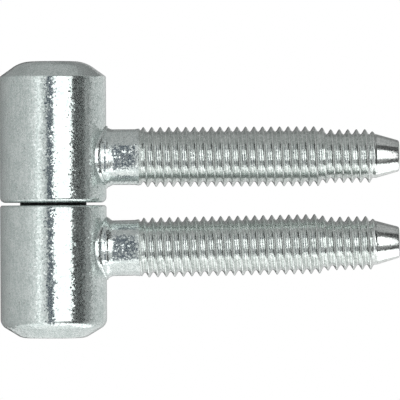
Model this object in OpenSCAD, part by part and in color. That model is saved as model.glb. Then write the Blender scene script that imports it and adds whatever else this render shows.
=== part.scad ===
// Drill-in hinge: two turned steel knuckles on one pin, each with a welded screw-in stud.
// The lower knuckle and its stud belong to the frame, the upper ones to the door, which lifts off.
// Origin: on the frame stud's axis, where its plain neck ends and its thread begins.
// +X runs along both studs towards their tips, +Z is up along the hinge axis.

/* [Knuckles] */
// Diameter of both knuckles
knuckle_d = 16; // [14:0.5:22]
// Height of the lower knuckle
lower_h = 19.9; // [18:0.1:40]
// Height of the upper knuckle
upper_h = 21.2; // [18:0.1:40]
// Width of the bevel round each closed end, measured across the end
bevel_w = 3.5; // [1:0.1:4]
// Height of that bevel, measured along the knuckle
bevel_h = 2; // [0.8:0.1:3]
// Rounding where the bevel meets the side and the end
bevel_round = 0.8; // [0.1:0.1:1]
// Rounding of the lower knuckle's open rim
lower_rim = 0.4; // [0.1:0.1:0.8]
// Rounding of the upper knuckle's open rim
upper_rim = 0.6; // [0.1:0.1:0.8]
// Metal left between the drilled bore's point and the closed end
end_wall = 3; // [1:0.5:5]

/* [Pin and washer] */
// Diameter of the hinge pin
pin_d = 8; // [5:0.5:9]
// Radial play of the upper knuckle on the pin
pin_play = 0.05; // [0.02:0.01:0.09]
// Room left beyond each end of the pin
pin_end_gap = 0.5; // [0.2:0.1:2]
// Bevel on each end of the pin
pin_bevel = 0.6; // [0.2:0.1:1.5]
// Bevel at the mouth of each bore
mouth_bevel = 0.4; // [0.1:0.1:0.8]
// Width of the bearing washer's ring
washer_w = 0.9; // [0.5:0.1:2]
// Thickness of the bearing washer, which sets the gap between the knuckles
washer_t = 0.4; // [0.2:0.1:2]
// Radial play of the washer on the pin
washer_play = 0.1; // [0.05:0.05:0.2]

/* [Studs] */
// Reach of each stud from the knuckle's side to its tip
stud_reach = 44; // [32:1:80]
// Depth of the frame stud's axis below the lower knuckle's open face
lower_stud_drop = 6.5; // [6:0.1:10]
// Height of the door stud's axis above the upper knuckle's open face
upper_stud_rise = 6.8; // [6:0.1:10]
// Diameter of the plain neck
neck_d = 8.5; // [8.1:0.1:8.9]
// Length from the knuckle's side to the start of the thread
neck_l = 4.9; // [2.5:0.1:12]
// Outside diameter of the thread
thread_d = 9; // [8.6:0.1:10]
// Pitch of the thread
thread_pitch = 1.28; // [1:0.01:2]
// Depth of the thread
thread_depth = 0.72; // [0.4:0.01:0.9]
// Width of the flat on the thread's crest
crest_flat = 0.22; // [0.1:0.01:0.3]
// Outside diameter of the reduced lead thread behind the point
lead_d = 8.05; // [7:0.05:8.6]
// Length of the reduced lead thread
lead_l = 8.6; // [4:0.1:12]
// Length of the plain point
point_l = 3.8; // [2:0.1:8]
// Diameter of the flat tip
tip_d = 4.6; // [2:0.1:5]
// Rounding of the tip's edge
tip_round = 0.25; // [0.1:0.05:0.6]

/* [Welds] */
// Diameter of the upset collar at the stud's root
collar_d = 9.1; // [8.6:0.05:9.4]
// Length of that collar beyond the knuckle's side
collar_l = 0.4; // [0.2:0.1:1.5]
// Length of the flare from the collar down to the neck
collar_flare = 0.45; // [0.2:0.05:1]
// Half the width of the weld bead
bead_w = 0.35; // [0.2:0.05:0.6]
// Height of the weld bead above the knuckle's side
bead_h = 0.5; // [0.3:0.05:0.8]

/* [Hidden] */
$fn = 96;

ZINC = "#c3c8c6";
BRIGHT_STEEL = "#a8abae";
BLACK_NYLON = "#1b1b1d";

knuckle_r = knuckle_d / 2;
neck_r = neck_d / 2;
collar_r = collar_d / 2;

// Heights along the hinge axis, measured from the lower knuckle's open face
upper_base = washer_t;
lower_stud_z = -lower_stud_drop;
upper_stud_z = upper_base + upper_stud_rise;

// The drill that cuts the blind bores has a 118 degree point
drill_half_angle = 59;
press_bore_d = pin_d;
running_bore_d = pin_d + 2 * pin_play;

// Distances along a stud, measured from the hinge axis
thread_x = knuckle_r + neck_l;
tip_x = knuckle_r + stud_reach;
point_x = tip_x - point_l;
neck_x = knuckle_r + collar_l + collar_flare;
root_x = knuckle_r / 2;

// The helical thread is cut into steps; its last step leaves one pitch for the groove behind it
thread_steps = 24;
thread_l = point_x - thread_x;
thread_last = floor((thread_l / thread_pitch - 1) * thread_steps);
flank_w = (thread_pitch - crest_flat) / 2;
point_d = lead_d - 2 * thread_depth;
// Height of the ridge where it starts and ends, as a share of its full height
blunt_share = 0.15;
// How far the thread's core runs on inside the neck and the point, and how much it narrows there
core_tail = 0.4;
core_taper = 0.3;
// The thread steps down to the lead thread over a turn and a half
lead_blend = 1.5 * thread_pitch;

bead_steps = 48;
bead_sides = 10;
// Share of the bead's half width by which its middle lies inside the collar
bead_sink = 0.4;
corner_steps = 6;

// A rounded corner at b between a and c, as arc points; the radius is limited by the shorter leg
function rounded(a, b, c, radius) =
    let (
        u = (a - b) / norm(a - b),
        v = (c - b) / norm(c - b),
        half = acos(u * v) / 2,
        leg = min(radius / tan(half), 0.45 * norm(a - b), 0.45 * norm(c - b)),
        r = leg * tan(half),
        centre = b + (u + v) / norm(u + v) * r / sin(half),
        from = b + u * leg - centre,
        to = b + v * leg - centre,
        sweep = acos(min(1, (from * to) / (r * r)))
    )
    [for (i = [0 : corner_steps])
        centre + (from * sin(sweep * (1 - i / corner_steps)) + to * sin(sweep * i / corner_steps))
            / sin(sweep)];

// Depth of a bore's straight wall in a knuckle of height h, above the drill's point
function bore_depth(h, bore_d) = h - end_wall - bore_d / 2 / tan(drill_half_angle);

// One knuckle, turned from bar: open face at z = 0, bevelled closed end at z = h
module turned_knuckle(h, rim, bore_d) {
    bore_r = bore_d / 2;
    bore_end = bore_depth(h, bore_d);
    mouth = [bore_r + mouth_bevel, 0];
    rim_corner = [knuckle_r, 0];
    shoulder = [knuckle_r, h - bevel_h];
    end_corner = [knuckle_r - bevel_w, h];
    end_centre = [0, h];
    rotate_extrude()
        polygon(concat(
            [mouth],
            rounded(mouth, rim_corner, shoulder, rim),
            rounded(rim_corner, shoulder, end_corner, bevel_round),
            rounded(shoulder, end_corner, end_centre, bevel_round),
            [end_centre, [0, h - end_wall], [bore_r, bore_end], [bore_r, mouth_bevel]]
        ));
}

// Full radii of the thread at distance z beyond the neck
function lead_share(z) = min(1, max(0, (z - thread_l + lead_l) / lead_blend));
function crest_r(z) = thread_d / 2 - lead_share(z) * (thread_d - lead_d) / 2;
function root_r(z) = crest_r(z) - thread_depth;
// The thread grows out of the neck over its first turn, and its ridge dies out over the last
function grown(s) = min(1, blunt_share + s / thread_steps);
function left(s) = min(1, blunt_share + (thread_last - s) / thread_steps);
function groove_r(s, z) = neck_r + (root_r(z) - neck_r) * grown(s);
function ridge_r(s, z) = root_r(z) + left(s) * (neck_r + (crest_r(z) - neck_r) * grown(s) - root_r(z));
function thread_z(s) = thread_pitch * s / thread_steps;
function turned(r, s, z) = [r * cos(360 * s / thread_steps), r * sin(360 * s / thread_steps), z];

// Two triangles for the patch between a lower and an upper edge, seen from outside
function patch(low, low_next, up, up_next) = [[low, up, up_next], [low, up_next, low_next]];

// The threaded length with its core, along +Z from the end of the neck: right-hand, one start
module thread() {
    n = thread_steps;
    crest_z = flank_w + crest_flat;
    tail_end = thread_l + core_tail;
    near = thread_last + n + 1;
    far = near + thread_last + 1;
    foot = far + thread_last + 1;
    head = foot + n;
    points = concat(
        [for (s = [0 : thread_last + n]) turned(groove_r(s, thread_z(s)), s, thread_z(s))],
        [for (s = [0 : thread_last])
            turned(ridge_r(s, thread_z(s) + flank_w), s, thread_z(s) + flank_w)],
        [for (s = [0 : thread_last])
            turned(ridge_r(s, thread_z(s) + crest_z), s, thread_z(s) + crest_z)],
        [for (j = [0 : n - 1]) turned(min(neck_r, root_r(0)) - core_taper, j, -core_tail)],
        [for (j = [0 : n - 1]) turned(root_r(thread_l) - core_taper, j, tail_end)]
    );
    ridge = [for (s = [0 : thread_last - 1]) each concat(
        patch(s, s + 1, near + s, near + s + 1),
        patch(near + s, near + s + 1, far + s, far + s + 1),
        patch(far + s, far + s + 1, s + n, s + n + 1))];
    ridge_ends = [
        [0, n, far, near],
        [near + thread_last, far + thread_last, thread_last + n, thread_last]
    ];
    foot_skirt = concat(
        [for (j = [0 : n - 2]) each patch(foot + j, foot + j + 1, j, j + 1)],
        [[foot + n - 1, n - 1, n], [foot + n - 1, n, 0], [foot + n - 1, 0, foot]]
    );
    t = thread_last;
    top = [for (j = [0 : n]) head + (t + j) % n];
    head_skirt = concat(
        [[t, t + n, t + 1], [t + n, top[0], top[1]], [t + n, top[1], t + 1]],
        [for (j = [1 : n - 1]) each patch(t + j, t + j + 1, top[j], top[j + 1])]
    );
    caps = [[for (j = [0 : n - 1]) foot + j], [for (j = [n - 1 : -1 : 0]) head + j]];
    polyhedron(points, concat(ridge, ridge_ends, foot_skirt, head_skirt, caps), convexity = 10);
}

// Neck with its upset collar, along +Z from the hinge axis
module neck() {
    rotate_extrude()
        polygon([
            [0, root_x],
            [collar_r, root_x],
            [collar_r, knuckle_r + collar_l],
            [neck_r, neck_x],
            [neck_r, thread_x],
            [0, thread_x]
        ]);
}

// Plain point with a flat tip, along +Z from the hinge axis
module point() {
    base_centre = [0, point_x];
    base = [point_d / 2, point_x];
    tip_edge = [tip_d / 2, tip_x];
    tip_centre = [0, tip_x];
    rotate_extrude()
        polygon(concat(
            [base_centre, base],
            rounded(base, tip_edge, tip_centre, tip_round),
            [tip_centre]
        ));
}

// Weld bead: a ring that rides the saddle where the collar meets the knuckle's side
function saddle_x(a) = sqrt(knuckle_r ^ 2 - (collar_r * cos(a)) ^ 2);
function bead_point(a, b) =
    let (r = collar_r + bead_w * (cos(b) - bead_sink))
    [saddle_x(a) + bead_h * sin(b), r * cos(a), r * sin(a)];

module weld_bead() {
    points = [for (i = [0 : bead_steps - 1]) for (k = [0 : bead_sides - 1])
        bead_point(360 * i / bead_steps, 360 * (k + 0.5) / bead_sides)];
    faces = [for (i = [0 : bead_steps - 1]) for (k = [0 : bead_sides - 1])
        let (
            here = i * bead_sides,
            next = (i + 1) % bead_steps * bead_sides,
            k_next = (k + 1) % bead_sides
        )
        each patch(here + k, next + k, here + k_next, next + k_next)];
    polyhedron(points, faces, convexity = 4);
}

// One stud, along +X from the hinge axis: its root is coped to the knuckle's side
module screw_stud() {
    difference() {
        union() {
            rotate([0, 90, 0]) neck();
            weld_bead();
        }
        cylinder(h = 2 * knuckle_d, d = knuckle_d, center = true);
    }
    translate([thread_x, 0, 0]) rotate([0, 90, 0]) thread();
    rotate([0, 90, 0]) point();
}

// Moves what is built round the hinge axis into the part's own frame
module from_hinge_axis(z = 0) {
    translate([-thread_x, 0, z - lower_stud_z]) children();
}

module lower_knuckle() {
    color(ZINC) from_hinge_axis() mirror([0, 0, 1]) turned_knuckle(lower_h, lower_rim, press_bore_d);
}

module upper_knuckle() {
    color(ZINC) from_hinge_axis(upper_base) turned_knuckle(upper_h, upper_rim, running_bore_d);
}

module lower_stud() {
    color(ZINC) from_hinge_axis(lower_stud_z) screw_stud();
}

module upper_stud() {
    color(ZINC) from_hinge_axis(upper_stud_z) screw_stud();
}

module hinge_pin() {
    pin_low = pin_end_gap - bore_depth(lower_h, press_bore_d);
    pin_high = upper_base + bore_depth(upper_h, running_bore_d) - pin_end_gap;
    pin_r = pin_d / 2;
    color(BRIGHT_STEEL) from_hinge_axis()
        rotate_extrude()
            polygon([
                [0, pin_low],
                [pin_r - pin_bevel, pin_low],
                [pin_r, pin_low + pin_bevel],
                [pin_r, pin_high - pin_bevel],
                [pin_r - pin_bevel, pin_high],
                [0, pin_high]
            ]);
}

module washer() {
    color(BLACK_NYLON) from_hinge_axis()
        rotate_extrude()
            translate([pin_d / 2 + washer_play, 0])
                square([washer_w, washer_t]);
}

lower_knuckle();
lower_stud();
hinge_pin();
washer();
upper_knuckle();
upper_stud();
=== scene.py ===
import math

import bmesh
import bpy
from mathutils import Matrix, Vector, noise


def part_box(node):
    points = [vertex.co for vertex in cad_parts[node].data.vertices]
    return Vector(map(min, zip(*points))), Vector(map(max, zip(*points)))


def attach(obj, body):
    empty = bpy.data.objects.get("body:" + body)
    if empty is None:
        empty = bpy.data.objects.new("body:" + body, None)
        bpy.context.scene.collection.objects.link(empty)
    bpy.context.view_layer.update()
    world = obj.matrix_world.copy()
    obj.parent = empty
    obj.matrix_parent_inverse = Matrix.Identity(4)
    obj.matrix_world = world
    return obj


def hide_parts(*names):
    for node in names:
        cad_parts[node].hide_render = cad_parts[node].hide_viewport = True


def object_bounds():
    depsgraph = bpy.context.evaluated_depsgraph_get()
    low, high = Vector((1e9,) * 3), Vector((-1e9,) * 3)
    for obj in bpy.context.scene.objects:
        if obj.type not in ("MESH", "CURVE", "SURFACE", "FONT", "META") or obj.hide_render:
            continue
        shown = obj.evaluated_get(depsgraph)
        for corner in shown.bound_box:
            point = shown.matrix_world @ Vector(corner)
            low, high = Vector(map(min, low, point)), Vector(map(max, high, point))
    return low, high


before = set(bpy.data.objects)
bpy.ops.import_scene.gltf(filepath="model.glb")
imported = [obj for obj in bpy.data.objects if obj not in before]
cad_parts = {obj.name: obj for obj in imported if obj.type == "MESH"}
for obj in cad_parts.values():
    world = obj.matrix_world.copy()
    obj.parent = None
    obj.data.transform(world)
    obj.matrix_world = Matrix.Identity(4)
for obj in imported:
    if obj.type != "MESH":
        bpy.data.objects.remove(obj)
cad_low, cad_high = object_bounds()

# Lower knuckle, the frame's half
# A slug of round steel bar, turned on a lathe to a bevelled closed end with softened edges and drilled
# from its open face for the pin. The stud is welded to its side, and the whole half is then zinc plated.
MM = 0.001
KNUCKLE_SIDES = 192
ROUND_STEPS = 6
LOWER_BEVEL = (3.2 * MM, 1.95 * MM)
LOWER_ROUNDS = (1.5 * MM, 2 * MM)
LOWER_RIM = 0.4 * MM
END_WALL = 3 * MM
MOUTH_BEVEL = 0.4 * MM
DRILL_HALF_ANGLE = math.radians(59)
SMOOTH_ANGLE = math.radians(38)
TOUCH = 0.002 * MM

lower_low, lower_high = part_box("lower_knuckle")
knuckle_r = (lower_high[0] - lower_low[0]) / 2
hinge_x = (lower_high[0] + lower_low[0]) / 2
pin_low, pin_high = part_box("hinge_pin")
pin_r = (pin_high[0] - pin_low[0]) / 2


def linear(hex_colour):
    """An sRGB hex colour as linear red, green, blue and alpha."""
    shares = [int(hex_colour[i:i + 2], 16) / 255 for i in (1, 3, 5)]
    return [s / 12.92 if s <= 0.04045 else ((s + 0.055) / 1.055) ** 2.4 for s in shares] + [1]


def add_node(tree, kind, settings, sockets):
    """Adds a node with its settings, and sets each named socket to a value or links it to an output."""
    made = tree.nodes.new(kind)
    for name, value in settings.items():
        setattr(made, name, value)
    for name, value in sockets.items():
        if isinstance(value, bpy.types.NodeSocket):
            tree.links.new(value, made.inputs[name])
        else:
            made.inputs[name].default_value = value
    return made


def pick(piece, kind, test):
    """In edit mode, selects the edges or faces whose corners all pass the test."""
    bpy.ops.mesh.select_mode(type=kind)
    bpy.ops.mesh.select_all(action="DESELECT")
    shape = bmesh.from_edit_mesh(piece.data)
    for item in {"EDGE": shape.edges, "FACE": shape.faces}[kind]:
        item.select_set(all(test(corner.co) for corner in item.verts))
    bmesh.update_edit_mesh(piece.data)


def modify(piece, kind, **settings):
    """Adds a modifier with its settings and applies it."""
    bpy.context.view_layer.objects.active = piece
    added = piece.modifiers.new(kind.lower(), kind)
    for name, value in settings.items():
        setattr(added, name, value)
    bpy.ops.object.modifier_apply(modifier=added.name)


def begin():
    """Puts the place of the primitive that was just added into its mesh, and opens it for editing."""
    piece = bpy.context.object
    bpy.ops.object.transform_apply(location=True, rotation=True, scale=True)
    bpy.ops.object.mode_set(mode="EDIT")
    return piece


def draw_out(step, share, centre):
    """Extrudes the selected end face by a step, then narrows or widens it about a centre."""
    bpy.ops.mesh.extrude_region_move(TRANSFORM_OT_translate={"value": step})
    bpy.ops.transform.resize(value=share, center_override=centre)


def turned_knuckle(open_z, closed_z, bevel, rounds, rim, bore_r):
    """A knuckle from its open face to its closed end. The bevel there has a width and a height, and its
    shoulder and its inner edge have a round each."""
    bevel_width, bevel_height = bevel
    shoulder_round, end_round = rounds
    up = math.copysign(1, closed_z - open_z)
    shoulder_z = closed_z - up * bevel_height
    slope = math.atan2(bevel_width, bevel_height)
    end_r = knuckle_r - bevel_width

    bpy.ops.object.select_all(action="DESELECT")
    bpy.ops.mesh.primitive_cylinder_add(
        vertices=KNUCKLE_SIDES, radius=knuckle_r, depth=abs(shoulder_z - open_z),
        location=(hinge_x, 0, (shoulder_z + open_z) / 2))
    knuckle = begin()

    # The closed end is drawn out to its bevel, and each turned edge is rounded
    pick(knuckle, "FACE", lambda p: abs(p.z - shoulder_z) < TOUCH)
    draw_out((0, 0, up * bevel_height), (end_r / knuckle_r, end_r / knuckle_r, 1), (hinge_x, 0, closed_z))
    for ring_z, leg in (
            (shoulder_z, shoulder_round * math.tan(slope / 2)),
            (closed_z, end_round * math.tan(math.pi / 4 - slope / 2)),
            (open_z, rim)):
        pick(knuckle, "EDGE", lambda p: abs(p.z - ring_z) < TOUCH)
        bpy.ops.mesh.bevel(offset=leg, segments=ROUND_STEPS, affect="EDGES")

    # The bore: a bevelled mouth, a straight wall and the drill's point
    mouth_r = bore_r + MOUTH_BEVEL
    point_depth = bore_r / math.tan(DRILL_HALF_ANGLE)
    wall_end = closed_z - up * (END_WALL + point_depth)
    pick(knuckle, "FACE", lambda p: abs(p.z - open_z) < TOUCH)
    bpy.ops.mesh.inset(thickness=knuckle_r - rim - mouth_r)
    narrow = bore_r / mouth_r
    draw_out((0, 0, up * MOUTH_BEVEL), (narrow, narrow, 1), (hinge_x, 0, open_z))
    draw_out((0, 0, wall_end - open_z - up * MOUTH_BEVEL), (1, 1, 1), (hinge_x, 0, wall_end))
    bpy.ops.mesh.extrude_region_move(TRANSFORM_OT_translate={"value": (0, 0, up * point_depth)})
    bpy.ops.mesh.merge(type="CENTER")
    bpy.ops.mesh.select_all(action="SELECT")
    bpy.ops.mesh.normals_make_consistent(inside=False)
    bpy.ops.object.mode_set(mode="OBJECT")
    bpy.ops.object.shade_smooth_by_angle(angle=SMOOTH_ANGLE)
    modify(knuckle, "WEIGHTED_NORMAL", keep_sharp=True)
    return knuckle


def zinc_plated_steel(name, tints, streak, lean, roughness, films):
    """Bright zinc on steel, named for how its piece was made: a pale, faintly green-grey metal with cloudy
    patches, streaks along the way it was worked and dark pits. Each zinc crystal leans a little its own
    way and has its own film of oxide, clear or matt, which breaks the edges of reflections into specks.
    The crystals are drawn about twice as wide as real ones, which are too fine to show."""
    CRYSTAL = 0.22 * MM
    CLOUD = 2.4 * MM
    PIT_SPACING = 1.3 * MM
    PIT_RADIUS = 0.18 * MM
    PIT_FLOOR = 0.3 * PIT_RADIUS
    PIT_STAIN = 0.6
    STREAK_DEPTH = 0.002 * MM
    material = bpy.data.materials.new(name)
    material.use_nodes = True
    tree = material.node_tree
    shader = tree.nodes["Principled BSDF"]
    place = add_node(tree, "ShaderNodeTexCoord", {}, {}).outputs["Object"]

    cloud = add_node(tree, "ShaderNodeTexNoise", {}, {
        "Vector": place, "Scale": 1 / CLOUD, "Detail": 5, "Roughness": 0.65}).outputs["Fac"]
    along = add_node(tree, "ShaderNodeMapping", {}, {
        "Vector": place, "Scale": [1 / length for length in streak]}).outputs["Vector"]
    streaks = add_node(tree, "ShaderNodeTexNoise", {}, {
        "Vector": along, "Scale": 1, "Detail": 3, "Roughness": 0.6}).outputs["Fac"]
    crystals = add_node(tree, "ShaderNodeTexVoronoi", {}, {
        "Vector": place, "Scale": 1 / CRYSTAL}).outputs["Color"]
    pits = add_node(tree, "ShaderNodeTexVoronoi", {}, {
        "Vector": place, "Scale": 1 / PIT_SPACING}).outputs["Distance"]
    pit = add_node(tree, "ShaderNodeMapRange", {"interpolation_type": "SMOOTHSTEP"}, {
        "Value": pits, "From Min": PIT_FLOOR / PIT_SPACING, "From Max": PIT_RADIUS / PIT_SPACING,
        "To Min": PIT_STAIN, "To Max": 0}).outputs["Result"]

    # The three patterns, each about a half, add up to a shade between the two tints
    mottle = add_node(tree, "ShaderNodeMath", {"operation": "ADD"}, {0: cloud, 1: streaks}).outputs[0]
    mottle = add_node(tree, "ShaderNodeMath", {"operation": "ADD"}, {0: mottle, 1: crystals}).outputs[0]
    shade = add_node(tree, "ShaderNodeMapRange", {}, {
        "Value": mottle, "From Min": 1.15, "From Max": 1.85}).outputs["Result"]
    metal = add_node(tree, "ShaderNodeMix", {"data_type": "RGBA"}, {
        0: shade, 6: linear(tints[0]), 7: linear(tints[1])}).outputs[2]
    stained = add_node(tree, "ShaderNodeMix", {"data_type": "RGBA"}, {
        0: pit, 6: metal, 7: linear("#868A87")}).outputs[2]
    tree.links.new(stained, shader.inputs["Base Color"])

    # Cloudy patches are up to a tenth smoother or rougher than the rest
    rough = add_node(tree, "ShaderNodeMapRange", {}, {
        "Value": cloud, "From Min": 0.3, "From Max": 0.7,
        "To Min": 0.9 * roughness, "To Max": 1.1 * roughness})
    tree.links.new(rough.outputs["Result"], shader.inputs["Roughness"])

    # Most crystals lean very little: the cube of a share from -0.5 to 0.5 is at most an eighth
    bumped = add_node(tree, "ShaderNodeBump", {}, {
        "Height": streaks, "Distance": STREAK_DEPTH}).outputs["Normal"]
    share = add_node(tree, "ShaderNodeVectorMath", {"operation": "SUBTRACT"}, {
        0: crystals, 1: (0.5, 0.5, 0.5)}).outputs[0]
    square = add_node(tree, "ShaderNodeVectorMath", {"operation": "MULTIPLY"}, {
        0: share, 1: share}).outputs[0]
    cube = add_node(tree, "ShaderNodeVectorMath", {"operation": "MULTIPLY"}, {
        0: square, 1: share}).outputs[0]
    leaning = add_node(tree, "ShaderNodeVectorMath", {"operation": "MULTIPLY_ADD"}, {
        0: cube, 1: [8 * lean] * 3, 2: bumped}).outputs[0]
    normal = add_node(tree, "ShaderNodeVectorMath", {"operation": "NORMALIZE"}, {0: leaning}).outputs[0]
    tree.links.new(normal, shader.inputs["Normal"])
    metallic = add_node(tree, "ShaderNodeMapRange", {}, {
        "Value": crystals, "To Min": 1 - films[1], "To Max": 1 - films[0]}).outputs["Result"]
    tree.links.new(metallic, shader.inputs["Metallic"])
    return material


def place_piece(piece, name, material, body, node):
    """Gives a finished piece its name and material, ties it to its body, and hides the CAD node that it
    stands in for.
    """
    piece.name = name
    piece.data.name = name
    piece.data.materials.clear()
    piece.data.materials.append(material)
    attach(piece, body)
    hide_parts(node)


turned_zinc = zinc_plated_steel(
    "zinc_plated_turned_steel", tints=("#C8D4D1", "#EEF6F4"), streak=(0.3 * MM, 0.3 * MM, 3 * MM),
    lean=0.085, roughness=0.13, films=(0.04, 0.4))
lower_knuckle = turned_knuckle(
    lower_high[2], lower_low[2], LOWER_BEVEL, LOWER_ROUNDS, LOWER_RIM, pin_r)
place_piece(lower_knuckle, "lower_knuckle_turned", turned_zinc, "frame_half", "lower_knuckle")

# Lower stud, screwed into the frame
# A steel stud, resistance-welded end-on to the knuckle so that metal squeezes out round its root in
# curled ridges. The thread is rolled, with round crests and roots, a reduced lead and a plain point.
STUD_SIDES = 96
ROOT_SINK = 2 * MM
# Collar: metal squeezed up round the root, flattened at its near and far sides, with faint rings
COLLAR_END = 1.1 * MM
COLLAR_ROOT = 0.3 * MM
COLLAR_EDGE = 0.13 * MM
COLLAR_RING = 0.05 * MM
COLLAR_TAPER = 0.2 / MM
COLLAR_FLAT = 0.6
COLLAR_WANDER = 0.05 * MM
COLLAR_LUMPS = 2.5
COLLAR_RIPPLE = 0.011 * MM
COLLAR_RIPPLE_LENGTH = 0.66 * MM
LOWER_COLLAR_RISE = 0.5 * MM
LOWER_COLLAR_LEAN = 0.12 * MM
LOWER_WELD_SEED = 1.3
# Neck: plain, flared a little where the thread begins
NECK_R = 4.17 * MM
NECK_FLARE = 0.1 * MM
NECK_FLARE_LENGTH = 0.7 * MM
NECK_FLARE_END = 0.15 * MM
# Thread: one outline of roots, flanks and crests, narrower on its lead
THREAD_R = 4.5 * MM
THREAD_PITCH = 1.28 * MM
THREAD_DEPTH = 0.74 * MM
THREAD_STEPS = 64
PROFILE_POINTS = 18
ROOT_FLAT = 0.06
CREST_FLAT = 0.07
ROOT_CURVE = 1.4
LOWER_FIRST_CREST = 0.8 * MM
THREAD_GROWTH = 0.5 * MM
LEAD_R = 4.025 * MM
LEAD_LENGTH = 9 * MM
LEAD_BLEND = 1.9 * MM
FADE_LENGTH = 1.0 * MM
# How far the thread's ends and the rod's core lie below the surface that shows
UNDER = 0.06 * MM
CORE_UNDER = 4 * UNDER
# Point: a plain cone, with a ring near its wide end that keeps its shading even
POINT_LENGTH = 3.4 * MM
POINT_RING = 0.3 * MM
POINT_R = 3.27 * MM
TIP_R = 2.3 * MM
TIP_ROUND = 0.25 * MM
# Weld: the stud's root lies a hair inside the knuckle's side, and the lower stud sits a little askew
COPE_OVERLAP = 0.02 * MM
LOWER_TILT = math.radians(0.95)

lower_stud_low, lower_stud_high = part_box("lower_stud")
tip_x = lower_stud_high[0]
lower_stud_z = (lower_stud_low[2] + lower_stud_high[2]) / 2
point_x = tip_x - POINT_LENGTH


def smooth_step(low, high, value):
    """Goes smoothly from 0 at low to 1 at high."""
    share = min(1, max(0, (value - low) / (high - low)))
    return share * share * (3 - 2 * share)


def stud_rod(stud_z, collar_rise, collar_lean, seed):
    """The stud without its thread: root, upset collar, neck, a core that the thread covers, and point.
    The collar leans to one side and is uneven, as squeezed-out metal is."""
    side_x = hinge_x + knuckle_r
    start_x = side_x - ROOT_SINK
    root_x = hinge_x + knuckle_r / 2
    core_r = THREAD_R - THREAD_DEPTH - CORE_UNDER
    lead_core_r = LEAD_R - THREAD_DEPTH - CORE_UNDER
    rings = round((side_x + COLLAR_END - start_x) / COLLAR_RING)
    stations = []
    for i in range(1, rings + 1):
        beyond = start_x + i * COLLAR_RING - side_x
        ripple = COLLAR_RIPPLE * math.cos(2 * math.pi * beyond / COLLAR_RIPPLE_LENGTH)
        taper = COLLAR_TAPER * collar_rise * beyond
        share = 1 - smooth_step(0, COLLAR_END, beyond)
        stations.append((side_x + beyond, NECK_R + (collar_rise - taper + ripple) * share))
    stations += [
        (-NECK_FLARE_LENGTH, NECK_R),
        (0, NECK_R + NECK_FLARE),
        (NECK_FLARE_END, NECK_R),
        (THREAD_GROWTH, core_r),
        (point_x - LEAD_LENGTH, core_r),
        (point_x - LEAD_LENGTH + LEAD_BLEND, lead_core_r),
        (point_x - POINT_RING, lead_core_r),
        (point_x, POINT_R),
        (point_x + POINT_RING, POINT_R + (TIP_R - POINT_R) * POINT_RING / POINT_LENGTH),
        (tip_x, TIP_R),
    ]
    bpy.ops.object.select_all(action="DESELECT")
    bpy.ops.mesh.primitive_cylinder_add(
        vertices=STUD_SIDES, radius=NECK_R, depth=start_x - root_x,
        location=((start_x + root_x) / 2, 0, stud_z), rotation=(0, math.pi / 2, 0))
    rod = begin()
    pick(rod, "FACE", lambda p: abs(p.x - start_x) < TOUCH)
    last_x, last_r = start_x, NECK_R
    for x, r in stations:
        draw_out((x - last_x, 0, 0), (1, r / last_r, r / last_r), (x, 0, stud_z))
        last_x, last_r = x, r
    pick(rod, "EDGE", lambda p: abs(p.x - tip_x) < TOUCH)
    bpy.ops.mesh.bevel(offset=TIP_ROUND, segments=ROUND_STEPS, affect="EDGES")
    bpy.ops.object.mode_set(mode="OBJECT")
    for vertex in rod.data.vertices:
        y, z = vertex.co.y, vertex.co.z - stud_z
        r = math.hypot(y, z)
        beyond = vertex.co.x - side_x
        if beyond < COLLAR_END and r > NECK_R / 2:
            share = 1 - smooth_step(COLLAR_ROOT, COLLAR_END, beyond)
            spot = Vector((COLLAR_LUMPS * y / r, COLLAR_LUMPS * z / r, seed + beyond / MM))
            flat = COLLAR_FLAT * (y / r) ** 2 * (1 - smooth_step(COLLAR_EDGE, COLLAR_END, beyond))
            uneven = (collar_lean * z / r + COLLAR_WANDER * noise.noise(spot)) * share - collar_rise * flat
            vertex.co.y += y / r * uneven
            vertex.co.z += z / r * uneven
    return rod


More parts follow.
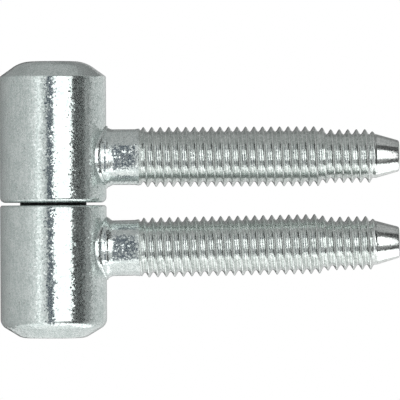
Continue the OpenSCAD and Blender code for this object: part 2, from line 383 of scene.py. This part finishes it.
def rolled_thread(stud_z, first_crest):
    """The thread: one pitch of its outline, screwed along the stud, then grown, reduced and faded.
    It starts at a root inside the neck, one and a half pitches before its first whole crest."""
    start_x = first_crest - 1.5 * THREAD_PITCH
    turns = math.ceil((point_x + THREAD_PITCH - start_x) / THREAD_PITCH)
    bpy.ops.object.select_all(action="DESELECT")
    bpy.ops.mesh.primitive_plane_add(size=THREAD_DEPTH, location=(start_x, 0, stud_z))
    thread = bpy.context.object
    bpy.ops.object.mode_set(mode="EDIT")
    bpy.ops.mesh.select_mode(type="VERT")
    bpy.ops.mesh.merge(type="CENTER")
    outline = []
    for i in range(PROFILE_POINTS + 1):
        rise = 1 - abs(1 - 2 * i / PROFILE_POINTS)
        flank = min(1, max(0, (rise - ROOT_FLAT) / (1 - ROOT_FLAT - CREST_FLAT)))
        share = (1 - math.cos(math.pi * flank) + 2 * flank ** ROOT_CURVE) / 4
        height = THREAD_R - THREAD_DEPTH * (1 - share)
        outline.append(Vector((i * THREAD_PITCH / PROFILE_POINTS, 0, height)))
    bpy.ops.transform.translate(value=outline[0])
    for here, there in zip(outline, outline[1:]):
        bpy.ops.mesh.extrude_region_move(TRANSFORM_OT_translate={"value": there - here})
    bpy.ops.object.mode_set(mode="OBJECT")
    modify(thread, "SCREW", axis="X", screw_offset=THREAD_PITCH, iterations=turns,
           steps=THREAD_STEPS, render_steps=THREAD_STEPS)
    bpy.ops.object.transform_apply(location=True, rotation=True, scale=True)

    for vertex in thread.data.vertices:
        x, y, z = vertex.co.x, vertex.co.y, vertex.co.z - stud_z
        r = math.hypot(y, z)
        drop = (THREAD_R - LEAD_R) * smooth_step(0, LEAD_BLEND, x - point_x + LEAD_LENGTH)
        root = THREAD_R - THREAD_DEPTH - drop
        formed = root + (r - drop - root) * (1 - smooth_step(point_x - FADE_LENGTH, point_x, x))
        grown = smooth_step(0, THREAD_GROWTH, x)
        formed = NECK_R - UNDER + (formed - NECK_R + UNDER) * grown
        if x > point_x:
            cone = POINT_R + (TIP_R - POINT_R) * (x - point_x) / POINT_LENGTH
            formed = min(formed, cone - UNDER)
        vertex.co.y = y * formed / r
        vertex.co.z = stud_z + z * formed / r

    bpy.ops.object.mode_set(mode="EDIT")
    bpy.ops.mesh.select_all(action="SELECT")
    bpy.ops.mesh.remove_doubles(threshold=TOUCH)
    bpy.ops.mesh.fill_holes(sides=0)
    bpy.ops.mesh.select_all(action="SELECT")
    bpy.ops.mesh.normals_make_consistent(inside=False)
    bpy.ops.object.mode_set(mode="OBJECT")
    return thread


def combine(piece, other, operation):
    """Joins the other solid to the piece, or cuts it out, and removes it."""
    modify(piece, "BOOLEAN", operation=operation, object=other, solver="MANIFOLD")
    bpy.data.objects.remove(other)


def weld_bead(stud_z, seed):
    """The curled bead of squeezed-out metal on the knuckle, bent to the saddle where the stud meets it and
    spread out flat on its near and far sides, where the knuckle falls away."""
    RING_R = 4.5 * MM
    THICK = 0.22 * MM
    SIDE_RISE = 0.2 * MM
    SIDE_LENGTH = 0.6 * MM
    SIDE_HEIGHT = 0.15 * MM
    SIDE_SLOPE = 0.2
    LUMPS = 3.1
    LUMP_SWELL = 0.25
    LUMP_OUT = 0.04 * MM
    LUMP_ALONG = 0.06 * MM
    RIPPLES = 12
    RIPPLE_SEED = seed + 7
    RIPPLE_OUT = 0.02 * MM
    RIPPLE_ALONG = 0.07 * MM
    BEAD_SIDES = 160
    BEAD_ROUND = 24
    bpy.ops.object.select_all(action="DESELECT")
    bpy.ops.mesh.primitive_torus_add(
        major_segments=BEAD_SIDES, minor_segments=BEAD_ROUND, major_radius=RING_R, minor_radius=THICK,
        location=(0, 0, stud_z), rotation=(0, math.pi / 2, 0))
    bead = begin()
    bpy.ops.object.mode_set(mode="OBJECT")
    for vertex in bead.data.vertices:
        x, y, z = vertex.co.x, vertex.co.y, vertex.co.z - stud_z
        r = math.hypot(y, z)
        y, z = y / r, z / r
        side = y * y
        lump = noise.noise(Vector((y * LUMPS, z * LUMPS, seed)))
        ripple = noise.noise(Vector((y * RIPPLES, z * RIPPLES, RIPPLE_SEED)))
        x *= 1 + (SIDE_LENGTH / THICK - 1) * side
        height = (r - RING_R) * (1 + (SIDE_HEIGHT / THICK - 1) * side) * (1 + LUMP_SWELL * lump)
        ring_r = RING_R + SIDE_RISE * side
        new_r = ring_r + height - SIDE_SLOPE * side * x + LUMP_OUT * lump + RIPPLE_OUT * ripple
        saddle = math.sqrt(knuckle_r ** 2 - (y * ring_r) ** 2)
        vertex.co.x = hinge_x + saddle + x + LUMP_ALONG * lump + RIPPLE_ALONG * ripple
        vertex.co.y = y * new_r
        vertex.co.z = stud_z + z * new_r
    return bead


def screw_stud(stud_z, first_crest, collar_rise, collar_lean, seed, tilt):
    """A whole stud: its rod and thread, then its weld, coped to the knuckle's side."""
    stud = stud_rod(stud_z, collar_rise, collar_lean, seed)
    combine(stud, rolled_thread(stud_z, first_crest), "UNION")
    bpy.ops.object.mode_set(mode="EDIT")
    bpy.ops.mesh.select_all(action="SELECT")
    bpy.ops.transform.rotate(value=tilt, orient_axis="Y", center_override=(hinge_x + knuckle_r, 0, stud_z))
    bpy.ops.object.mode_set(mode="OBJECT")
    combine(stud, weld_bead(stud_z, seed), "UNION")
    bpy.ops.object.select_all(action="DESELECT")
    bpy.ops.mesh.primitive_cylinder_add(
        vertices=KNUCKLE_SIDES, radius=knuckle_r - COPE_OVERLAP, depth=2 * knuckle_r,
        location=(hinge_x, 0, stud_z))
    combine(stud, bpy.context.object, "DIFFERENCE")
    bpy.ops.object.select_all(action="DESELECT")
    stud.select_set(True)
    bpy.context.view_layer.objects.active = stud
    bpy.ops.object.shade_smooth_by_angle(angle=SMOOTH_ANGLE)
    return stud


def place_stud(stud, name, body, node):
    """Places a stud like any piece: speckled zinc on its weld and neck, cleaner on its thread and point."""
    place_piece(stud, name, weld_zinc, body, node)
    stud.data.materials.append(rolled_zinc)
    stud.data.materials.append(smooth_zinc)
    for face in stud.data.polygons:
        face.material_index = int(face.center.x > 0) + int(face.center.x > point_x)


weld_zinc = zinc_plated_steel(
    "zinc_plated_welded_steel", tints=("#CAD4D2", "#EFF6F4"), streak=(0.1 * MM, 2.5 * MM, 2.5 * MM),
    lean=0.1, roughness=0.14, films=(0, 0.42))
rolled_zinc = zinc_plated_steel(
    "zinc_plated_rolled_steel", tints=("#CED4D1", "#F1F5F3"), streak=(0.1 * MM, 2.5 * MM, 2.5 * MM),
    lean=0.05, roughness=0.12, films=(0, 0.2))
smooth_zinc = zinc_plated_steel(
    "zinc_plated_smooth_steel", tints=("#CED4D1", "#F3F6F4"), streak=(2.5 * MM, 0.2 * MM, 0.2 * MM),
    lean=0.03, roughness=0.12, films=(0.1, 0.25))
lower_stud = screw_stud(
    lower_stud_z, LOWER_FIRST_CREST, LOWER_COLLAR_RISE, LOWER_COLLAR_LEAN, LOWER_WELD_SEED, LOWER_TILT)
place_stud(lower_stud, "lower_stud_threaded", "frame_half", "lower_stud")

# Hinge pin
# A ground steel pin with bevelled ends, pressed into the lower knuckle and greased. The upper knuckle
# turns on it and lifts off it.
PIN_BEVEL = 0.6 * MM
PIN_SIDES = 96


def ground_steel():
    """Ground steel under a film of grease: a darker, bluish grey with fine lines round the pin."""
    LINE = 0.12 * MM
    LINE_LENGTH = 2.4 * MM
    LINE_DEPTH = 0.004 * MM
    material = bpy.data.materials.new("ground_steel")
    material.use_nodes = True
    tree = material.node_tree
    shader = tree.nodes["Principled BSDF"]
    place = add_node(tree, "ShaderNodeTexCoord", {}, {}).outputs["Object"]
    along = add_node(tree, "ShaderNodeMapping", {}, {
        "Vector": place, "Scale": (1 / LINE_LENGTH, 1 / LINE_LENGTH, 1 / LINE)}).outputs["Vector"]
    lines = add_node(tree, "ShaderNodeTexNoise", {}, {
        "Vector": along, "Scale": 1, "Detail": 3}).outputs["Fac"]
    colour = add_node(tree, "ShaderNodeMix", {"data_type": "RGBA"}, {
        0: lines, 6: linear("#A3A6AA"), 7: linear("#C9CCCF")}).outputs[2]
    rough = add_node(tree, "ShaderNodeMapRange", {}, {
        "Value": lines, "To Min": 0.14, "To Max": 0.34}).outputs["Result"]
    bump = add_node(tree, "ShaderNodeBump", {}, {
        "Height": lines, "Distance": LINE_DEPTH}).outputs["Normal"]
    tree.links.new(colour, shader.inputs["Base Color"])
    tree.links.new(rough, shader.inputs["Roughness"])
    tree.links.new(bump, shader.inputs["Normal"])
    shader.inputs["Metallic"].default_value = 1
    return material


bpy.ops.object.select_all(action="DESELECT")
bpy.ops.mesh.primitive_cylinder_add(
    vertices=PIN_SIDES, radius=pin_r, depth=pin_high[2] - pin_low[2],
    location=(hinge_x, 0, (pin_high[2] + pin_low[2]) / 2))
hinge_pin = begin()
for end_z in (pin_low[2], pin_high[2]):
    pick(hinge_pin, "EDGE", lambda p: abs(p.z - end_z) < TOUCH)
    bpy.ops.mesh.bevel(offset=PIN_BEVEL, segments=ROUND_STEPS, profile=0.3, affect="EDGES")
bpy.ops.object.mode_set(mode="OBJECT")
bpy.ops.object.shade_smooth_by_angle(angle=SMOOTH_ANGLE)
modify(hinge_pin, "WEIGHTED_NORMAL", keep_sharp=True)
place_piece(hinge_pin, "hinge_pin_ground", ground_steel(), "frame_half", "hinge_pin")

# Bearing washer
# A thin ring of black nylon, moulded with soft edges, that keeps steel off steel. It lies loose on the
# pin between the two knuckles, where it shows as the dark line in the gap.
WASHER_SIDES = 96
WASHER_WIDTH = 0.9 * MM
WASHER_ROUND = 0.08 * MM


def black_nylon():
    """Moulded black nylon: matt, with a faint mould texture and paler rubbed spots."""
    TEXTURE = 0.25 * MM
    TEXTURE_DEPTH = 0.01 * MM
    material = bpy.data.materials.new("black_nylon")
    material.use_nodes = True
    tree = material.node_tree
    shader = tree.nodes["Principled BSDF"]
    place = add_node(tree, "ShaderNodeTexCoord", {}, {}).outputs["Object"]
    speck = add_node(tree, "ShaderNodeTexNoise", {}, {
        "Vector": place, "Scale": 1 / TEXTURE, "Detail": 3}).outputs["Fac"]
    colour = add_node(tree, "ShaderNodeMix", {"data_type": "RGBA"}, {
        0: speck, 6: linear("#111112"), 7: linear("#262628")}).outputs[2]
    rough = add_node(tree, "ShaderNodeMapRange", {}, {
        "Value": speck, "To Min": 0.5, "To Max": 0.75}).outputs["Result"]
    bump = add_node(tree, "ShaderNodeBump", {}, {
        "Height": speck, "Distance": TEXTURE_DEPTH}).outputs["Normal"]
    tree.links.new(colour, shader.inputs["Base Color"])
    tree.links.new(rough, shader.inputs["Roughness"])
    tree.links.new(bump, shader.inputs["Normal"])
    shader.inputs["IOR"].default_value = 1.53
    return material


washer_low, washer_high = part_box("washer")
washer_r = (washer_high[0] - washer_low[0]) / 2
bpy.ops.object.select_all(action="DESELECT")
bpy.ops.mesh.primitive_cylinder_add(
    vertices=WASHER_SIDES, radius=washer_r, depth=washer_high[2] - washer_low[2],
    location=(hinge_x, 0, (washer_high[2] + washer_low[2]) / 2))
washer = begin()
for face_z in (washer_low[2], washer_high[2]):
    pick(washer, "FACE", lambda p: abs(p.z - face_z) < TOUCH)
    bpy.ops.mesh.inset(thickness=WASHER_WIDTH)
    bpy.ops.mesh.delete(type="FACE")
inner_r = washer_r - WASHER_WIDTH
pick(washer, "EDGE", lambda p: math.hypot(p.x - hinge_x, p.y) < inner_r + WASHER_ROUND)
bpy.ops.mesh.bridge_edge_loops()
for face_z in (washer_low[2], washer_high[2]):
    for ring_r in (inner_r, washer_r):
        pick(washer, "EDGE", lambda p: abs(p.z - face_z) < TOUCH
             and abs(math.hypot(p.x - hinge_x, p.y) - ring_r) < WASHER_ROUND)
        bpy.ops.mesh.bevel(offset=WASHER_ROUND, segments=ROUND_STEPS, affect="EDGES")
bpy.ops.mesh.select_all(action="SELECT")
bpy.ops.mesh.normals_make_consistent(inside=False)
bpy.ops.object.mode_set(mode="OBJECT")
bpy.ops.object.shade_smooth_by_angle(angle=SMOOTH_ANGLE)
modify(washer, "WEIGHTED_NORMAL", keep_sharp=True)
place_piece(washer, "bearing_washer", black_nylon(), "bearing", "washer")

# Upper knuckle, the door's half
# Turned from steel bar like the lower one and zinc plated, but taller, with a steeper bevel and a rounder
# rim. Its bore runs free on the pin, so that the door's half turns and lifts off.
UPPER_BEVEL = (3.2 * MM, 2.28 * MM)
UPPER_ROUNDS = (0.35 * MM, 4.1 * MM)
UPPER_RIM = 0.8 * MM
PIN_PLAY = 0.05 * MM
upper_low, upper_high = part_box("upper_knuckle")
upper_knuckle = turned_knuckle(
    upper_low[2], upper_high[2], UPPER_BEVEL, UPPER_ROUNDS, UPPER_RIM, pin_r + PIN_PLAY)
place_piece(upper_knuckle, "upper_knuckle_turned", turned_zinc, "door_half", "upper_knuckle")

# Upper stud, screwed into the door
# The same rolled steel stud as the lower one, welded to the upper knuckle with a bead and a collar of its
# own. It stands square to the hinge, and its thread starts a little sooner.
UPPER_FIRST_CREST = 0.68 * MM
UPPER_COLLAR_RISE = 0.36 * MM
UPPER_COLLAR_LEAN = -0.07 * MM
UPPER_WELD_SEED = 3.4
UPPER_TILT = 0
upper_stud_low, upper_stud_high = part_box("upper_stud")
upper_stud_z = (upper_stud_low[2] + upper_stud_high[2]) / 2
upper_stud = screw_stud(
    upper_stud_z, UPPER_FIRST_CREST, UPPER_COLLAR_RISE, UPPER_COLLAR_LEAN, UPPER_WELD_SEED, UPPER_TILT)
place_stud(upper_stud, "upper_stud_threaded", "door_half", "upper_stud")

# Floor
# A square of white paper well below the hinge, which is held by its stud. It can be seen through from
# below, and it shows white to the lens and in the metal.
FLOOR_DROP = 300 * MM
FLOOR_SIZE = 300 * MM
PAPER_GLOW = 0.65


def white_paper():
    """White paper: matt, with a glow that only the lens, metal and glass see, so that it shows white."""
    material = bpy.data.materials.new("white_paper")
    material.use_nodes = True
    tree = material.node_tree
    tree.nodes.clear()
    path = add_node(tree, "ShaderNodeLightPath", {}, {}).outputs
    seen = add_node(tree, "ShaderNodeMath", {"operation": "MAXIMUM"}, {
        0: path["Is Camera Ray"], 1: path["Is Glossy Ray"]}).outputs[0]
    seen = add_node(tree, "ShaderNodeMath", {"operation": "MAXIMUM"}, {
        0: seen, 1: path["Is Transmission Ray"]}).outputs[0]
    glow = add_node(tree, "ShaderNodeMath", {"operation": "MULTIPLY"}, {0: seen, 1: PAPER_GLOW}).outputs[0]
    paper = add_node(tree, "ShaderNodeBsdfDiffuse", {}, {"Color": linear("#E8E8E6")}).outputs[0]
    light = add_node(tree, "ShaderNodeEmission", {}, {"Strength": glow}).outputs[0]
    front = add_node(tree, "ShaderNodeAddShader", {}, {0: paper, 1: light}).outputs[0]
    clear = add_node(tree, "ShaderNodeBsdfTransparent", {}, {}).outputs[0]
    behind = add_node(tree, "ShaderNodeNewGeometry", {}, {}).outputs["Backfacing"]
    surface = add_node(tree, "ShaderNodeMixShader", {}, {0: behind, 1: front, 2: clear}).outputs[0]
    add_node(tree, "ShaderNodeOutputMaterial", {}, {"Surface": surface})
    return material


bpy.ops.object.select_all(action="DESELECT")
bpy.ops.mesh.primitive_plane_add(size=FLOOR_SIZE, location=(0, 0, cad_low[2] - FLOOR_DROP))
floor = bpy.context.object
floor.name = "floor"
floor.data.materials.append(white_paper())

# Light
# A round tent of white cloth over a white table lights the hinge softly: one lit panel to the right of the
# lens, black gaps on either side of it, paler and dimmer cloth all round, a grey ceiling and a dim back.
# The table is lit at its right. The metal shows all this as its bright and dark bands.
TENT_RADIUS = 2
TENT_SEGMENTS = 180
LIT_PANEL = 1.9
PANEL_RIM = 0.6
LENS_GAP = (0.01, 0.03, 0.06)
CEILING = 0.4
LEFT_BACK = 0.31
RIGHT_BACK = 0.23
LIT_TABLE = 1.7
WHITE_TABLE = 1.25
DIM_TABLE = 0.8
# Where the tent's parts end, in degrees of azimuth, 0 at the lens and + to its right, or of elevation
LENS_GAP_LEFT = -12
PANEL_LEFT = 2
PANEL_RIGHT = 42
PANEL_FOOT = (-19, -12)
PANEL_TOP = (25, 32)
RIM_FADE = (18, 28)
RIM_LOSS = 0.6
CEILING_EDGE = 53
BACK_SIDE = 100
BACK_FOOT = 20
TABLE_EDGE = -40
TABLE_BACK_EDGE = -20
TABLE_BACK_SIDE = 158
# The lines on the table where its dim back and its lit right begin, for a hinge one unit above it
DIM_FROM = 0.34
DIM_SLANT = 0.7
LIT_FROM = 0.05
# The cloth's brightness round the hinge, by azimuth
CLOTH = (
    (-180, 0.05), (-170, 0.11), (-160, 0.25), (-140, 0.29), (-120, 0.37), (-100, 0.46), (-70, 0.53),
    (-58, 0.56), (-43, 0.77), (-36, 0.86), (-30, 1.40), (-26, 1.06), (-20, 0.74), (-14, 0.65), (-11, 0),
    (72, 0), (78, 0.33), (86, 0.15), (92, 0.45), (108, 0.62), (133, 0.72), (155, 0.72), (170, 0.50),
    (180, 0.33))


def cloth_glow(azimuth, elevation):
    """Colour and brightness of the tent in a direction."""
    if LENS_GAP_LEFT <= azimuth < PANEL_LEFT and abs(elevation) < CEILING_EDGE:
        return LENS_GAP
    if elevation > CEILING_EDGE:
        return [CEILING] * 3
    if elevation > BACK_FOOT and abs(azimuth) > BACK_SIDE:
        return [LEFT_BACK if azimuth < 0 else RIGHT_BACK] * 3
    if elevation < TABLE_EDGE:
        reach = 1 / math.tan(math.radians(-elevation))
        to_right = reach * math.sin(math.radians(azimuth))
        to_back = -reach * math.cos(math.radians(azimuth))
        if to_back > DIM_FROM + DIM_SLANT * to_right:
            return [DIM_TABLE] * 3
        return [LIT_TABLE if to_right > LIT_FROM else WHITE_TABLE] * 3
    if elevation < TABLE_BACK_EDGE and abs(azimuth) > TABLE_BACK_SIDE:
        return [DIM_TABLE] * 3
    if PANEL_LEFT <= azimuth < PANEL_RIGHT:
        rim = PANEL_RIM * (1 - RIM_LOSS * smooth_step(*RIM_FADE, azimuth))
        lit = smooth_step(*PANEL_FOOT, elevation) * (1 - smooth_step(*PANEL_TOP, elevation))
        return [rim + (LIT_PANEL - rim) * lit] * 3
    for (left, left_glow), (right, right_glow) in zip(CLOTH, CLOTH[1:]):
        if azimuth < right:
            return [left_glow + (right_glow - left_glow) * (azimuth - left) / (right - left)] * 3
    return [CLOTH[-1][1]] * 3


def tent_cloth():
    """White cloth lit from outside: each face of the tent glows by its own brightness."""
    material = bpy.data.materials.new("tent_cloth")
    material.use_nodes = True
    tree = material.node_tree
    tree.nodes.clear()
    glow = add_node(tree, "ShaderNodeAttribute", {"attribute_name": "glow"}, {}).outputs["Color"]
    light = add_node(tree, "ShaderNodeEmission", {}, {"Color": glow}).outputs[0]
    add_node(tree, "ShaderNodeOutputMaterial", {}, {"Surface": light})
    return material


bpy.ops.object.select_all(action="DESELECT")
bpy.ops.mesh.primitive_uv_sphere_add(
    segments=TENT_SEGMENTS, ring_count=TENT_SEGMENTS // 2, radius=TENT_RADIUS)
tent = bpy.context.object
tent.name = "light_tent"
tent.visible_camera = False
tent.data.materials.append(tent_cloth())
glows = tent.data.attributes.new("glow", "FLOAT_VECTOR", "FACE")
for face in tent.data.polygons:
    x, y, z = face.center
    azimuth = math.degrees(math.atan2(x, -y))
    elevation = math.degrees(math.asin(z / face.center.length))
    glows.data[face.index].vector = cloth_glow(azimuth, elevation)

world = bpy.data.worlds.new("white_backdrop")
bpy.context.scene.world = world
world.use_nodes = True
world.node_tree.nodes["Background"].inputs["Color"].default_value = (1, 1, 1, 1)
world.node_tree.nodes["Background"].inputs["Strength"].default_value = 1

# Camera
# A long lens in front of the hinge, about level with the gap between the knuckles, so that the studs show
# square from the side. It is turned a little about its own axis.
LENS_DISTANCE = 790 * MM
VIEW_WIDTH = 60.1 * MM
LENS_ROLL = math.radians(0.27)
SENSOR_WIDTH = 36
AIM_X = 9.15 * MM
AIM_Z = 7.2 * MM
aim = Vector((AIM_X, 0, AIM_Z))
eye = Vector((aim.x, -LENS_DISTANCE, aim.z))
camera_data = bpy.data.cameras.new("camera")
camera_data.sensor_width = SENSOR_WIDTH
camera_data.lens = SENSOR_WIDTH * LENS_DISTANCE / VIEW_WIDTH
camera = bpy.data.objects.new("camera", camera_data)
camera.location = eye
camera.rotation_euler = (aim - eye).to_track_quat("-Z", "Y").to_euler()
camera.rotation_euler.rotate_axis("Z", -LENS_ROLL)
bpy.context.scene.collection.objects.link(camera)
bpy.context.scene.camera = camera
bpy.context.scene.view_settings.view_transform = "Standard"
